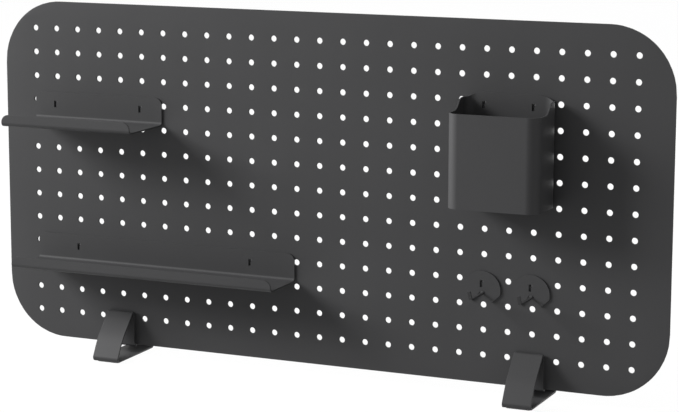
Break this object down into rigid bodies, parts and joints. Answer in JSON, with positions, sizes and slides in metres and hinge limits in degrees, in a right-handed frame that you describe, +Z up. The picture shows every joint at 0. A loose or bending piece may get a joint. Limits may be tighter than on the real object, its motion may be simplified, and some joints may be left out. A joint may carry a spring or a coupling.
{
  "type": "desktop pegboard organizer",
  "caption": "Perforated steel desk pegboard on bent strip feet, with hang-on shelves, a pen cup and small hooks.",
  "frame": {"origin": "on the desk, under the middle of the whole object's footprint box", "axes": "+X to the user's right along the panel, +Y away from the user through the panel, +Z up"},
  "size_m": [0.578, 0.0888, 0.2957],
  "materials": {
    "panel": "fine matt charcoal powder coat",
    "feet": "fine matt charcoal powder coat",
    "accessories": "fine matt charcoal powder coat",
    "pads": "thin matt black non-slip pad"
  },
  "bodies": {
    "panel": {"panel": "panel"},
    "foot_left": {"foot_left": "feet", "foot_pads_left": "pads"},
    "foot_right": {"foot_right": "feet", "foot_pads_right": "pads"},
    "shelf_small": {"shelf_small": "accessories"},
    "shelf_large": {"shelf_large": "accessories"},
    "cup": {"cup_wall": "accessories", "cup_floor": "accessories"},
    "hook_left": {"hook_left": "accessories"},
    "hook_right": {"hook_right": "accessories"}
  },
  "joints": [
    {"name": "foot_left_pull", "type": "slide", "parent": "panel", "child": "foot_left", "axis": [0, 0, -1], "range_m": [0, 0.03]},
    {"name": "foot_right_pull", "type": "slide", "parent": "panel", "child": "foot_right", "axis": [0, 0, -1], "range_m": [0, 0.03]},
    {"name": "shelf_small_lift", "type": "slide", "parent": "panel", "child": "shelf_small", "axis": [0, 0, 1], "range_m": [0, 0.0024]},
    {"name": "shelf_large_lift", "type": "slide", "parent": "panel", "child": "shelf_large", "axis": [0, 0, 1], "range_m": [0, 0.0024]},
    {"name": "cup_lift", "type": "slide", "parent": "panel", "child": "cup", "axis": [0, 0, 1], "range_m": [0, 0.0024]},
    {"name": "hook_left_lift", "type": "slide", "parent": "panel", "child": "hook_left", "axis": [0, 0, 1], "range_m": [0, 0.0024]},
    {"name": "hook_right_lift", "type": "slide", "parent": "panel", "child": "hook_right", "axis": [0, 0, 1], "range_m": [0, 0.0024]}
  ]
}
